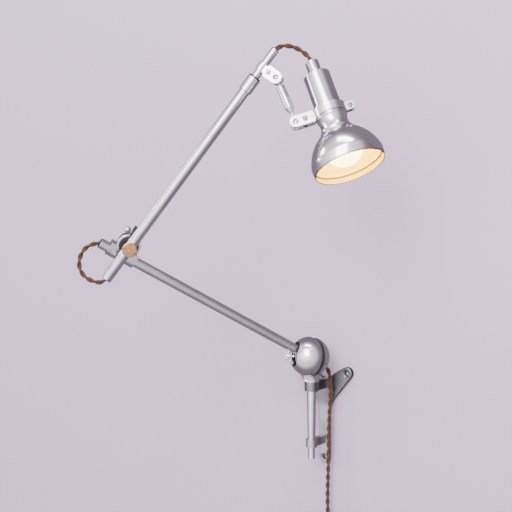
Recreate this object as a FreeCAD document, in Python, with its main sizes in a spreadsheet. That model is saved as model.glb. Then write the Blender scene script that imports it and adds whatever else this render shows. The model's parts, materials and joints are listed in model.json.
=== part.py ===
"""Swing arm wall sconce: a parametric FreeCAD document, in millimetres.

+X runs along the wall, +Y points into the wall (its face is Y = 0) and +Z is up.
The origin is on the wall face, midway between the upper screw holes and the lower one.
"""

import FreeCAD, Part
import math
import os
import Sketcher
from FreeCAD import Placement, Rotation, Vector

doc = FreeCAD.newDocument("swing_arm_wall_sconce")
sheet = doc.addObject("Spreadsheet::Sheet", "sizes")

SIZES = {
    # wall bracket and swivel
    "plate_thick": 8.5,
    "hole_rise": 73.5,
    "wing_reach": 43.0,
    "wing_round": 10.5,
    "foot_round": 9.3,
    "wall_hole": 4.25,
    "standoff": 50.0,
    "pin_upper": 7.9,
    "pin_lower": 6.0,
    "lug_fit": 0.06,
    "upper_lug_top": 61.5,
    "upper_lug_tall": 15.5,
    "upper_lug_round": 11.8,
    "lower_lug_top": -35.0,
    "lower_lug_tall": 13.5,
    "lower_lug_round": 9.3,
    "pin_end": -67.5,
    # ball housing
    "ball_rise": 104.2,
    "ball_forward": 6.0,
    "shell_outer": 33.5,
    "shell_inner": 30.3,
    "ball_round": 25.0,
    "ring_half": 3.6,
    "land_bore": 27.8,
    "pole_turn": 15.0,
    "pole_rise": 9.0,
    "mouth_turn": 31.0,
    "mouth_rise": 12.0,
    "mouth_round": 13.5,
    "mouth_half": 7.0,
    # arms
    "arm_turn": 32.67,
    "arm_rise": 28.17,
    "arm_round": 8.0,
    "arm_bore": 6.6,
    "arm_long": 398.7,
    "clamp_reach": 362.0,
    "upper_turn": 23.9,
    "upper_rise": 52.2,
    "upper_below": 58.0,
    "collar_end": 311.4,
    "collar_long": 24.0,
    "collar_round": 9.8,
    "inner_round": 6.0,
    "inner_bore": 4.9,
    "inner_end": 361.6,
    "inner_start": 250.0,
    # elbow
    "pivot_lift": 20.0,
    "pivot_gap": 24.0,
    "clamp_half": 23.0,
    "clamp_round": 11.0,
    "ear_side": 12.0,
    "bolt_round": 2.5,
    "bolt_fit": 0.06,
    "washer_round": 18.0,
    "saddle_round": 15.0,
    "head_round": 11.3,
    "head_thick": 3.0,
    # head linkage
    "strap_rise": 329.4,
    "strap_side": 18.0,
    "link_ball": 5.0,
    "link_reach": 28.0,
    "link_long": 77.0,
    "link_turn": -6.3,
    "link_fall": 62.4,
    "band_reach": 50.0,
    "band_turn": 145.0,
    # lampholder and shade, heights from the band's middle, up is positive
    "lamp_turn": -12.4,
    "lamp_fall": 65.1,
    "holder_round": 19.2,
    "holder_wall": 1.4,
    "cap_round": 9.75,
    "cap_top": 84.5,
    "cap_foot": 68.0,
    "holder_top": 60.8,
    "band_thick": 4.4,
    "band_tall": 12.4,
    "neck_foot": -29.0,
    "rim_round": 50.0,
    "rim_foot": -88.5,
    "shade_wall": 1.2,
    "bulb_round": 28.0,
    # flex
    "flex_round": 3.6,
    "strand_round": 1.8,
    "coil_round": 39.5,
    "coil_thick": 10.0,
}


class Length(float):
    """A number that remembers the sheet formula it comes from."""

    def __new__(cls, value, formula):
        made = super().__new__(cls, value)
        made.formula = formula
        return made

    def __add__(self, other):
        return Length(float(self) + float(other), f"({self.formula} + {formula_of(other)})")

    def __radd__(self, other):
        return Length(float(other) + float(self), f"({formula_of(other)} + {self.formula})")

    def __sub__(self, other):
        return Length(float(self) - float(other), f"({self.formula} - {formula_of(other)})")

    def __rsub__(self, other):
        return Length(float(other) - float(self), f"({formula_of(other)} - {self.formula})")

    def __mul__(self, other):
        return Length(float(self) * float(other), f"({self.formula} * {formula_of(other)})")

    def __rmul__(self, other):
        return Length(float(other) * float(self), f"({formula_of(other)} * {self.formula})")

    def __truediv__(self, other):
        return Length(float(self) / float(other), f"({self.formula} / {formula_of(other)})")

    def __neg__(self):
        return Length(-float(self), f"(0 - {self.formula})")


def formula_of(number):
    return getattr(number, "formula", repr(float(number)))


def root(number):
    return Length(math.sqrt(number), f"sqrt({formula_of(number)})")


size = {}
for row, (word, number) in enumerate(SIZES.items(), start=1):
    sheet.set(f"A{row}", word)
    sheet.set(f"B{row}", str(number))
    sheet.setAlias(f"B{row}", word)
    size[word] = Length(number, f"sizes.{word}")
doc.recompute()


# ---------------------------------------------------------------- building helpers

def bind(thing, name, number):
    """Sets a property, and binds it to the sheet if the number comes from there."""
    setattr(thing, name, float(number))
    if hasattr(number, "formula"):
        thing.setExpression(name, number.formula)


def arc_between(start, end, radius):
    """The arc of less than half a turn; a positive radius turns left on the way.

    Also says whether the arc is stored the other way round.
    """
    middle = (start + end) * 0.5
    along = end - start
    half = along.Length / 2
    side = Vector(-along.y, along.x, 0).normalize()
    depth = math.sqrt(max(radius * radius - half * half, 0.0))
    centre = middle + side * (depth if radius > 0 else -depth)
    first, last = (start, end) if radius > 0 else (end, start)
    turn = [math.atan2(p.y - centre.y, p.x - centre.x) for p in (first, last)]
    circle = Part.Circle(centre, Vector(0, 0, 1), abs(radius))
    return Part.ArcOfCircle(circle, turn[0], turn[1]), radius < 0


def draw(sketch, outline):
    """Closes a chain through (across, up) points.

    A third number is the radius of the arc that arrives at its point.
    """
    ends = []
    for number, corner in enumerate(outline):
        before = outline[number - 1]
        start = Vector(float(before[0]), float(before[1]), 0)
        end = Vector(float(corner[0]), float(corner[1]), 0)
        backwards = False
        if len(corner) > 2:
            shape, backwards = arc_between(start, end, float(corner[2]))
        else:
            shape = Part.LineSegment(start, end)
        index = sketch.addGeometry(shape)
        ends.append((index, 2, 1) if backwards else (index, 1, 2))
    for number, corner in enumerate(outline):
        index, _, tip = ends[number]
        following, tail, _ = ends[(number + 1) % len(outline)]
        sketch.addConstraint(Sketcher.Constraint("Coincident", index, tip, following, tail))
        for kind, place in (("DistanceX", corner[0]), ("DistanceY", corner[1])):
            fixed = sketch.addConstraint(Sketcher.Constraint(kind, -1, 1, index, tip, float(place)))
            if hasattr(place, "formula"):
                sketch.setExpression(f"Constraints[{fixed}]", place.formula)
        if len(corner) > 2:
            sketch.addConstraint(Sketcher.Constraint("Radius", index, abs(float(corner[2]))))


def new_sketch(body, plane):
    sketch = body.newObject("Sketcher::SketchObject", body.Name + "_sketch")
    origin_plane = [item for item in body.Origin.OriginFeatures if item.Role == plane][0]
    sketch.AttachmentSupport = [(origin_plane, "")]
    sketch.MapMode = "FlatFace"
    return sketch


def turned(name, outline, place):
    """A turned piece: the outline gives (radius, height) along the frame's own Z."""
    body = doc.addObject("PartDesign::Body", name)
    sketch = new_sketch(body, "XZ_Plane")
    draw(sketch, outline)
    spin = body.newObject("PartDesign::Revolution", name + "_spin")
    spin.Profile = (sketch, [""])
    spin.ReferenceAxis = (sketch, ["V_Axis"])
    spin.Angle = 360
    body.Label = name
    body.Placement = place
    return body


def plate(name, outline, thick, place, plane="XY_Plane", centred=False):
    """A flat piece: the outline is padded by its thickness along the plane's normal."""
    body = doc.addObject("PartDesign::Body", name)
    sketch = new_sketch(body, plane)
    draw(sketch, outline)
    pad = body.newObject("PartDesign::Pad", name + "_pad")
    pad.Profile = (sketch, [""])
    bind(pad, "Length", thick)
    pad.Midplane = centred
    body.Label = name
    body.Placement = place
    return body


def cylinder(radius, tall, place):
    rod = doc.addObject("Part::Cylinder", "cylinder")
    bind(rod, "Radius", radius)
    bind(rod, "Height", tall)
    rod.Placement = place
    return rod


def cone(low, high, tall, place):
    taper = doc.addObject("Part::Cone", "cone")
    bind(taper, "Radius1", low)
    bind(taper, "Radius2", high)
    bind(taper, "Height", tall)
    taper.Placement = place
    return taper


def sphere(radius, place):
    ball = doc.addObject("Part::Sphere", "sphere")
    bind(ball, "Radius", radius)
    ball.Placement = place
    return ball


def block(long, wide, tall, place):
    """A box centred on its place in X and Y, and standing on it."""
    box = doc.addObject("Part::Box", "block")
    bind(box, "Length", long)
    bind(box, "Width", wide)
    bind(box, "Height", tall)
    box.Placement = place * at(-float(long) / 2, -float(wide) / 2, 0)
    return box


def fuse(name, *pieces):
    joined = doc.addObject("Part::MultiFuse", name)
    joined.Shapes = list(pieces)
    joined.Label = name
    return joined


def cut(name, base, *tools):
    trimmed = doc.addObject("Part::Cut", name)
    trimmed.Base = base
    trimmed.Tool = tools[0] if len(tools) == 1 else fuse(name + "_tools", *tools)
    trimmed.Label = name
    return trimmed


def group(name, *pieces):
    made = doc.addObject("Part::Compound", name)
    made.Links = list(pieces)
    made.Label = name
    return made


def at(across=0.0, along=0.0, up=0.0, turn=None):
    return Placement(Vector(float(across), float(along), float(up)), turn or Rotation())


def direction(turn, rise):
    """A unit vector: turn is counted from +X towards +Y, rise is above level, both in degrees."""
    turn, rise = math.radians(float(turn)), math.radians(float(rise))
    return Vector(math.cos(rise) * math.cos(turn), math.cos(rise) * math.sin(turn), math.sin(rise))


def frame(origin, up, across):
    """A frame whose Z runs along up, and whose X is as near to across as it can be."""
    z = Vector(up).normalize()
    x = (Vector(across) - z * z.dot(across)).normalize()
    return Placement(origin, Rotation(x, z.cross(x), z, "ZXY"))


ALONG_X = Rotation(Vector(0, 1, 0), 90)
ALONG_Y = Rotation(Vector(1, 0, 0), -90)
HALF_TURN = Rotation(Vector(1, 0, 0), 180)
LEFT_OF_WALL = -90.0

keep = []


# ---------------------------------------------------------------- the frames of the assembly

ball_centre = Vector(0, -float(size["standoff"] + size["ball_forward"]), float(size["ball_rise"]))
pole = direction(LEFT_OF_WALL - size["pole_turn"], size["pole_rise"])
mouth = direction(LEFT_OF_WALL - size["mouth_turn"], size["mouth_rise"])
arm_way = direction(LEFT_OF_WALL - size["arm_turn"], size["arm_rise"])
upper_way = direction(size["upper_turn"], size["upper_rise"])
pivot_way = upper_way.cross(arm_way).normalize()
lamp_way = direction(size["lamp_turn"], -size["lamp_fall"])

at_pin = at(0, -size["standoff"], 0)
at_housing = frame(ball_centre, pole, Vector(0, 0, 1))
at_mouth = frame(ball_centre, mouth, Vector(0, 0, 1))
at_arm = frame(ball_centre, arm_way, Vector(0, 0, 1))
outlet_way = Vector(0.27, 0.83, -0.49).normalize()
outlet = ball_centre + outlet_way * float(size["shell_outer"])
at_outlet = frame(outlet, outlet_way, Vector(0, 0, 1))
lock_way = direction(LEFT_OF_WALL - 66.8, 0)
lock_foot = ball_centre + lock_way * float(size["shell_outer"])
at_lock = frame(lock_foot, lock_way, Vector(0, 0, 1))
at_elbow = frame(ball_centre + arm_way * float(size["clamp_reach"]), pivot_way, -arm_way)
pivot_point = at_elbow.multVec(Vector(0, float(size["pivot_lift"]), float(size["pivot_gap"])))
at_pivot = frame(at_elbow.multVec(Vector(0, float(size["pivot_lift"]), 0)), pivot_way, upper_way)
at_upper = frame(pivot_point, upper_way, pivot_way)

strap_normal = frame(Vector(), upper_way, direction(-72, 4.7)).Rotation.multVec(Vector(1, 0, 0))
strap_foot = pivot_point + upper_way * float(size["strap_rise"])
at_strap = frame(strap_foot, strap_normal, upper_way.cross(strap_normal))
top_ball = at_strap.multVec(Vector(float(size["link_reach"]), 0, 0))
link_way = direction(size["link_turn"], -size["link_fall"])
at_link = frame(top_ball, link_way, strap_normal)
low_ball = top_ball + link_way * float(size["link_long"])
band_level = direction(-size["band_turn"], 0)
band_tilt = math.degrees(math.atan(-lamp_way.dot(band_level) / lamp_way.z))
band_way = direction(-size["band_turn"], band_tilt)
lamp_centre = low_ball - band_way * float(size["band_reach"])
at_lamp = frame(lamp_centre, lamp_way * -1, band_way)
at_band = frame(lamp_centre, band_way.cross(lamp_way), band_way)


# ---------------------------------------------------------------- wall bracket and swivel

def make_wall_bracket():
    """A cast Y plate with two lugs; the plate is drawn in the wall's plane, its back on the wall."""
    rise, reach = size["hole_rise"], size["wing_reach"]
    tip, foot = size["wing_round"], size["foot_round"]
    under, over = math.radians(50), math.radians(30)
    waist, crotch = 45.0, 14.0
    low_tip = (reach + tip * math.sin(under), rise - tip * math.cos(under))
    high_tip = (reach - tip * math.sin(over), rise + tip * math.cos(over))
    waist_run = waist * math.tan((math.pi / 2 - under) / 2)
    waist_up = low_tip[1] - (low_tip[0] - foot) * math.tan(under)
    crotch_run = crotch * math.tan(over)
    crotch_up = high_tip[1] - high_tip[0] * math.tan(over)
    waist_end = (foot + waist_run * math.cos(under), waist_up + waist_run * math.sin(under))
    crotch_side = (crotch_run * math.cos(over), crotch_up + crotch_run * math.sin(over))
    outline = [
        (-foot, -rise),
        (0, -rise - foot, foot),
        (foot, -rise, foot),
        (foot, waist_up - waist_run),
        (*waist_end, -waist),
        low_tip,
        (*high_tip, tip),
        crotch_side,
        (-crotch_side[0], crotch_side[1], -crotch),
        (-high_tip[0], high_tip[1]),
        (-low_tip[0], low_tip[1], tip),
        (-waist_end[0], waist_end[1]),
        (-foot, waist_up - waist_run, -waist),
    ]
    face = plate("bracket_plate", outline, size["plate_thick"], Placement(), plane="XZ_Plane")
    softened = doc.addObject("Part::Fillet", "bracket_softened")
    softened.Base = face
    doc.recompute()
    front = -float(size["plate_thick"])
    edges = []
    for number, edge in enumerate(face.Shape.Edges, start=1):
        if all(abs(v.Point.y - front) < 1e-3 for v in edge.Vertexes):
            edges.append((number, 1.8, 1.8))
    softened.Edges = edges
    lugs = []
    for name, wide in (("upper", 12.5), ("lower", 9.0)):
        top, tall = size[name + "_lug_top"], size[name + "_lug_tall"]
        reach_back = size["standoff"] - size["plate_thick"] + 1.0
        lugs.append(cylinder(size[name + "_lug_round"], tall, at_pin * at(0, 0, top - tall)))
        halfway = -(size["standoff"] + size["plate_thick"] - 1.0) / 2
        lugs.append(block(wide, reach_back, tall, at(0, halfway, top - tall)))
    solid = fuse("bracket_solid", softened, *lugs)
    bores = [
        cylinder(size["pin_upper"] + size["lug_fit"], 40, at_pin * at(0, 0, size["upper_lug_top"] - 25)),
        cylinder(size["pin_lower"] + size["lug_fit"], 40, at_pin * at(0, 0, size["lower_lug_top"] - 25)),
    ]
    for across, up in ((reach, rise), (-reach, rise), (0, -rise)):
        bores.append(cylinder(size["wall_hole"], 30, at(across, 5, up, HALF_TURN * ALONG_Y)))
        sink = at(across, -float(size["plate_thick"]) + 2.6, up, HALF_TURN * ALONG_Y)
        bores.append(cone(size["wall_hole"], size["wall_hole"] + 2.8, 2.8, sink))
    return cut("wall_bracket", solid, *bores)


def make_swivel_spindle():
    """A long taper between two journals; it hangs in the lugs by the housing's neck."""
    upper, lower = size["pin_upper"], size["pin_lower"]
    return turned("swivel_spindle", [
        (0, size["pin_end"]),
        (lower - 0.6, size["pin_end"]),
        (lower, size["pin_end"] + 0.6),
        (lower, size["lower_lug_top"] + 1.5),
        (lower + 0.6, size["lower_lug_top"] + 2.2),
        (upper, size["upper_lug_top"] - size["upper_lug_tall"] - 1.0),
        (upper, size["upper_lug_top"] + 0.4),
        (upper, size["upper_lug_top"] + 6.0),
        (0, size["upper_lug_top"] + 6.0),
    ], at_pin)


def make_rear_cup():
    """The rear half shell with a lip that holds the retainer, and the neck that rests on the upper lug."""
    outer, inner, gap = size["shell_outer"], size["shell_inner"], size["ring_half"] + 0.05
    half = turned("cup_shell", [
        (size["land_bore"] + 0.4, -gap),
        (root(outer * outer - gap * gap), -gap),
        (0, -outer, -float(outer)),
        (0, -inner),
        (root(inner * inner - 5.5 * 5.5), -5.5, float(inner)),
        (size["land_bore"] + 0.4, -5.5),
    ], at_housing)
    low = size["upper_lug_top"] + 0.3
    neck = turned("cup_neck", [
        (0, low),
        (12.4, low),
        (12.4, low + 5.5),
        (15.5, low + 13.0),
        (15.5, low + 17.0),
        (0, low + 17.0),
    ], at_pin)
    solid = fuse("cup_solid", half, neck)
    hollow = sphere(inner, at_housing)
    lip = cylinder(size["land_bore"] + 0.4, 12, at_housing * at(0, 0, -6))
    slice_front = cylinder(outer + 8, 40, at_housing * at(0, 0, -gap))
    keep_lip = cut("cup_hollow", hollow, cylinder(inner + 1, 6, at_housing * at(0, 0, -5.5)))
    stud = cylinder(size["pin_upper"], 20, at_pin * at(0, 0, size["upper_lug_top"] - 14))
    outlet = cylinder(6.0, 24, at_outlet * at(0, 0, -14))
    return cut("rear_cup", solid, keep_lip, lip, slice_front, stud, outlet)


def make_housing_rings():
    half, bore = size["ring_half"], size["land_bore"]
    inner, outer = size["shell_inner"], size["shell_outer"]
    friction_ring = turned("friction_ring", [
        (bore + 0.4, -half),
        (outer - 0.6, -half),
        (outer - 0.6, half),
        (bore + 0.4, half),
    ], at_housing)
    retainer = turned("dome_retainer", [
        (bore - 1.6, -8.0),
        (bore + 1.4, -8.0),
        (bore + 1.4, -5.8),
        (bore, -5.8),
        (bore, 12.0),
        (23.6, 12.0),
        (23.6, 9.0),
        (bore - 1.6, 9.0),
    ], at_housing)
    ball = size["ball_round"] + 0.08
    seat_top, seat_foot = -13.0, -19.0
    seat = turned("ball_seat", [
        (root(ball * ball - seat_top * seat_top), seat_top),
        (root(ball * ball - seat_foot * seat_foot), seat_foot, -float(ball)),
        (root(inner * inner - seat_foot * seat_foot), seat_foot),
        (root(inner * inner - seat_top * seat_top), seat_top, float(inner)),
    ], at_housing)
    grommet = turned("cord_grommet", [
        (size["flex_round"] + 0.1, -4.2),
        (6.0, -4.2),
        (6.0, 0.6),
        (7.6, 0.6),
        (7.6, 2.0),
        (6.4, 3.0),
        (size["flex_round"] + 0.1, 3.0),
    ], at_outlet)
    return friction_ring, retainer, seat, grommet


def make_front_dome():
    outer, inner, bore = size["shell_outer"], size["shell_inner"], size["land_bore"]
    gap = size["ring_half"] + 0.05
    shell = turned("dome_shell", [
        (bore, gap),
        (root(outer * outer - gap * gap), gap),
        (0, outer, float(outer)),
        (0, inner),
        (root(inner * inner - 9.0 * 9.0), 9.0, -float(inner)),
        (bore, 9.0),
    ], at_housing)
    slot = block(size["mouth_half"] * 2, size["mouth_round"] * 2, 30, at_mouth * at(0, 0, 15))
    reach = size["mouth_half"]
    ends = [
        cylinder(size["mouth_round"], 30, at_mouth * at(side * reach, 0, 15))
        for side in (1, -1)
    ]
    tapped = cylinder(3.06, 20, at_lock * at(0, 0, -8))
    return cut("front_dome", shell, slot, *ends, tapped)


def make_lock_screw():
    """A small wing screw: shank, waisted hub and two wings."""
    core = turned("lock_core", [
        (0, -7.6),
        (3.0, -7.6),
        (3.0, 0.6),
        (4.6, 0.9),
        (4.6, 2.2),
        (3.2, 4.2),
        (3.2, 6.0),
        (0, 6.8),
    ], at_lock)
    wings = [
        plate(f"lock_wing_{number}", [
            (1.0, 1.2),
            (5.0, 2.6),
            (8.4, 7.6),
            (5.4, 9.4, 2.4),
            (1.0, 5.4),
        ], 2.0, at_lock * at(0, 0, 0, Rotation(Vector(0, 0, 1), 30 + half)), plane="XZ_Plane", centred=True)
        for number, half in enumerate((0, 180))
    ]
    return fuse("lock_screw", core, *wings)


# ---------------------------------------------------------------- lower arm

def make_lower_arm():
    tube = turned("lower_tube", [
        (size["arm_bore"], 8.0),
        (size["arm_round"], 8.0),
        (size["arm_round"], size["arm_long"] - 0.5),
        (size["arm_round"] - 0.5, size["arm_long"]),
        (size["arm_bore"], size["arm_long"]),
    ], at_arm)
    ball = cut(
        "joint_ball",
        sphere(size["ball_round"], at_arm),
        cylinder(size["arm_round"], 30, at_arm * at(0, 0, 8)),
        cylinder(size["flex_round"] + 2.4, 60, at_arm * at(0, 0, -40)),
        cone(13.0, size["flex_round"] + 2.4, 22, at_arm * at(0, 0, -28)),
    )
    bush = tube_bush("lower_tube_bush", size["arm_bore"], at_arm * at(0, 0, size["arm_long"]))
    flex = turned("lower_flex", [
        (0, 6.0),
        (size["flex_round"], 6.0),
        (size["flex_round"], size["arm_long"] + 1.2),
        (0, size["arm_long"] + 1.2),
    ], at_arm)
    return tube, ball, bush, flex


def tube_bush(name, bore, place):
    """A plastic bush in a tube's end, so that the flex doesn't chafe."""
    return turned(name, [
        (size["flex_round"] + 0.1, -9.0),
        (bore, -9.0),
        (bore, 0),
        (bore + 0.9, 0),
        (bore + 0.6, 1.2),
        (size["flex_round"] + 0.1, 1.2),
    ], place)


# ---------------------------------------------------------------- elbow

def make_elbow_clamp():
    """A strap bent round the lower tube, whose two ears carry the pivot bolt."""
    outer, long = size["clamp_round"], size["clamp_half"] * 2
    inner = size["arm_round"] + 0.04
    roll = at_elbow * at(-size["clamp_half"], 0, 0, ALONG_X)
    side = size["ear_side"]
    halfway = (size["pivot_lift"] + 8.0) / 2
    at_bore = at_elbow * at(0, size["pivot_lift"], -outer - 5)
    pieces = [
        cylinder(outer, long, roll),
        block(long, side, outer * 2, at_elbow * at(0, side / 2, -outer)),
        block(30, size["pivot_lift"] - 8.0, outer * 2, at_elbow * at(0, halfway, -outer)),
        cylinder(15, outer * 2, at_elbow * at(0, size["pivot_lift"], -outer)),
        block(16, 34, outer - inner, at_elbow * at(4.5, 31, -outer)),
    ]
    solid = fuse("clamp_solid", *pieces)
    return cut(
        "elbow_clamp",
        solid,
        cylinder(inner, long + 10, at_elbow * at(-size["clamp_half"] - 5, 0, 0, ALONG_X)),
        block(long + 10, 70, inner * 2, at_elbow * at(0, 35, -inner)),
        cylinder(size["bolt_round"] + 0.02, outer * 2 + 10, at_bore),
    )


def make_elbow_hardware():
    outer, gap, round_ = size["clamp_round"], size["pivot_gap"], size["arm_round"]
    flange = turned("pivot_washer", [
        (size["bolt_round"] + 0.02, outer),
        (size["washer_round"], outer),
        (size["washer_round"], outer + 1.6),
        (size["washer_round"] - 1.4, outer + 3.0),
        (size["bolt_round"] + 0.02, outer + 3.0),
    ], at_pivot)
    face = outer + 3.05
    across = size["bolt_round"] + size["bolt_fit"]
    saddle = cut(
        "tube_saddle",
        fuse(
            "saddle_solid",
            cylinder(size["saddle_round"], 2.4, at_pivot * at(0, 0, face)),
            block(42, 17.6, 6.4, at_pivot * at(0, 0, face)),
        ),
        cylinder(round_, 60, at_upper * at(0, 0, -30)),
        cylinder(across, 20, at_pivot * at(0, 0, 5)),
    )
    head = gap + round_ + 0.05
    bolt = turned("pivot_bolt", [
        (0, -46.0),
        (size["bolt_round"] - 0.4, -46.0),
        (size["bolt_round"], -45.6),
        (size["bolt_round"], head),
        (size["head_round"], head),
        (size["head_round"], head + size["head_thick"] - 0.8),
        (size["head_round"] - 0.9, head + size["head_thick"]),
        (0, head + size["head_thick"] + 0.4),
    ], at_pivot)
    return flange, saddle, bolt


def make_wing_nut():
    """A hub on the bolt's rear end, with two wings that flare back to ball tips."""
    back = -size["clamp_round"] - 0.3
    hub = turned("nut_hub", [
        (size["bolt_round"] + size["bolt_fit"], back),
        (8.0, back),
        (8.0, back - 2.0),
        (5.4, back - 5.0),
        (4.6, back - 22.0),
        (size["bolt_round"] + size["bolt_fit"], back - 22.0),
    ], at_pivot)
    wings = []
    for half in (0, 180):
        turn = at_pivot * at(0, 0, 0, Rotation(Vector(0, 0, 1), 20 + half))
        foot, tip = Vector(4.0, 0, float(back) - 12), Vector(9.5, 0, float(back) - 34)
        way = tip - foot
        stem = frame(turn.multVec(foot), turn.Rotation.multVec(way), turn.Rotation.multVec(Vector(0, 1, 0)))
        wings.append(cone(3.2, 2.3, way.Length, stem))
        wings.append(sphere(5.0, turn * at(tip.x, 0, tip.z)))
    bore = cylinder(size["bolt_round"] + size["bolt_fit"], 60, at_pivot * at(0, 0, -70))
    return cut("wing_nut", fuse("nut_solid", hub, *wings), bore)


# ---------------------------------------------------------------- upper arm

def make_upper_arm():
    low, end = -size["upper_below"], size["collar_end"]
    tube = cut(
        "upper_tube",
        turned("upper_blank", [
            (size["arm_bore"] + 0.3, low),
            (size["arm_round"], low),
            (size["arm_round"], end - 10),
            (size["arm_bore"] + 0.3, end - 10),
        ], at_upper),
        cylinder(size["bolt_round"] + size["bolt_fit"], 40, at_pivot * at(0, 0, 5)),
    )
    bush = tube_bush("upper_tube_bush", size["arm_bore"] + 0.3, at_upper * at(0, 0, low, HALF_TURN))
    start = end - size["collar_long"]
    collar = turned("tube_collar", [
        (size["arm_round"], start),
        (size["collar_round"] - 0.8, start),
        (size["collar_round"], start + 0.8),
        (size["collar_round"], end - 0.8),
        (size["collar_round"] - 0.8, end),
        (size["arm_round"] + 0.35, end),
        (size["arm_round"] + 0.35, end - 9.7),
        (size["arm_round"], end - 10),
    ], at_upper)
    strands = [
        cylinder(size["strand_round"], 290, at_upper * at(0, side * 4.45, low + 10))
        for side in (1, -1)
    ]
    flex = group("upper_flex", *strands)
    collar_bush = turned("collar_bush", [
        (size["inner_round"] + 0.05, end - 9.4),
        (size["arm_round"] + 0.3, end - 9.4),
        (size["arm_round"] + 0.3, end + 0.3),
        (size["arm_round"] + 1.2, end + 0.3),
        (size["arm_round"] + 1.2, end + 1.8),
        (size["inner_round"] + 0.05, end + 1.8),
    ], at_upper)
    return tube, bush, collar, flex, collar_bush


def make_inner_arm():
    start, end = size["inner_start"], size["inner_end"]
    tube = turned("inner_tube", [
        (size["inner_bore"], start),
        (size["inner_round"], start),
        (size["inner_round"], end - 0.5),
        (size["inner_round"] - 0.5, end),
        (size["inner_bore"], end),
    ], at_upper)
    bush = turned("inner_tube_bush", [
        (size["flex_round"] + 0.1, end - 7.0),
        (size["inner_bore"], end - 7.0),
        (size["inner_bore"], end),
        (size["inner_bore"] + 0.7, end),
        (size["inner_bore"] + 0.4, end + 1.0),
        (size["flex_round"] + 0.1, end + 1.0),
    ], at_upper)
    flex = turned("inner_flex", [
        (0, start),
        (size["flex_round"], start),
        (size["flex_round"], end + 1.0),
        (0, end + 1.0),
    ], at_upper)
    return tube, bush, flex


# ---------------------------------------------------------------- head linkage

def stadium(start, end, corner, half):
    """A plate outline from start to end, with a full round at its end and small corners at its start."""
    return [
        (start + corner, -half, corner),
        (end, -half),
        (end + half, 0.0, half),
        (end, half, half),
        (start + corner, half),
        (start, half - corner, corner),
        (start, -half + corner),
    ]


SOCKET = 4.3
CHEEK_GAP = 3.2
CHEEK_FACE = 6.0


def screw(name, place, shank, long, head, bite):
    """A round-headed screw, its head above the place and its shank below, slotted across."""
    blank = turned(name + "_blank", [
        (0, -long),
        (shank, -long),
        (shank, 0),
        (head, 0),
        (head, bite * 0.6),
        (head * 0.55, bite),
        (0, bite),
    ], place)
    slot = block(head * 3, 0.9, bite * 2, place * at(0, 0, bite * 0.45))
    return cut(name, blank, slot)


def make_top_strap():
    """One strap folded round the inner tube; its two cheeks hold the rod's ball."""
    side, reach, ball = size["strap_side"] / 2, size["link_reach"], size["link_reach"]
    wrap = cylinder(size["inner_round"] + 2.0, 11, at_strap * at(0, -5.5, 0, ALONG_Y))
    root_block = block(12, 11, CHEEK_FACE * 2, at_strap * at(6.0, 0, -CHEEK_FACE))
    outline = stadium(8.4, float(reach), 4.0, float(side))
    cheeks = plate("strap_cheeks", outline, CHEEK_FACE * 2, at_strap, centred=True)
    solid = fuse("strap_solid", wrap, root_block, cheeks)
    return cut(
        "top_strap",
        solid,
        cylinder(size["inner_round"], 40, at_strap * at(0, -20, 0, ALONG_Y)),
        block(60, 60, CHEEK_GAP * 2, at_strap * at(30, 0, -CHEEK_GAP)),
        cylinder(SOCKET, 40, at_strap * at(ball, 0, -20)),
        cylinder(2.05, 40, at_strap * at(14.5, 0, -20)),
    )


ROD_BARREL = 6.3


def make_ball_rod():
    ball, long = size["link_ball"], size["link_long"]
    neck = 2.0
    foot = root(ball * ball - neck * neck)
    return turned("ball_rod", [
        (0, -ball),
        (neck, foot, float(ball)),
        (neck, 11.5),
        (ROD_BARREL, 16.0),
        (ROD_BARREL, 52.0),
        (neck, 61.0),
        (neck, long - foot),
        (0, long + ball, float(ball)),
    ], at_link)


def make_band(name, place):
    """Half of the lampholder's band: a long ear for the rod's ball, a short ear, and the half ring."""
    ring, tall, face = size["holder_round"] + size["band_thick"], size["band_tall"], CHEEK_FACE
    reach = size["band_reach"]
    hoop = cylinder(ring, tall, place * at(0, -tall / 2, 0, ALONG_Y))
    long_ear = plate(name + "_long_ear", stadium(23.4, float(reach), 2.0, 8.7), face, place)
    ear_root = block(14, tall, face, place * at(24, 0, 0))
    short_ear = plate(name + "_short_ear", stadium(-29.2 - 6.2, -18.0, 5.0, 6.2), 4.4, place)
    solid = fuse(name + "_solid", hoop, long_ear, ear_root, short_ear)
    behind = block(200, 60, 60, place * at(0, 0, -60 + 1.2))
    return cut(
        name,
        solid,
        behind,
        cylinder(size["holder_round"], 60, place * at(0, -30, 0, ALONG_Y)),
        block(60, 60, CHEEK_GAP, place * at(size["holder_round"] + 3.0 + 30, 0, 0)),
        cylinder(SOCKET, 40, place * at(reach, 0, -20)),
        cylinder(2.05, 40, place * at(reach - 13.5, 0, -20)),
        cylinder(2.05, 40, place * at(-29.2, 0, -20)),
    )


# ---------------------------------------------------------------- lampholder, shade and bulb

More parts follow.
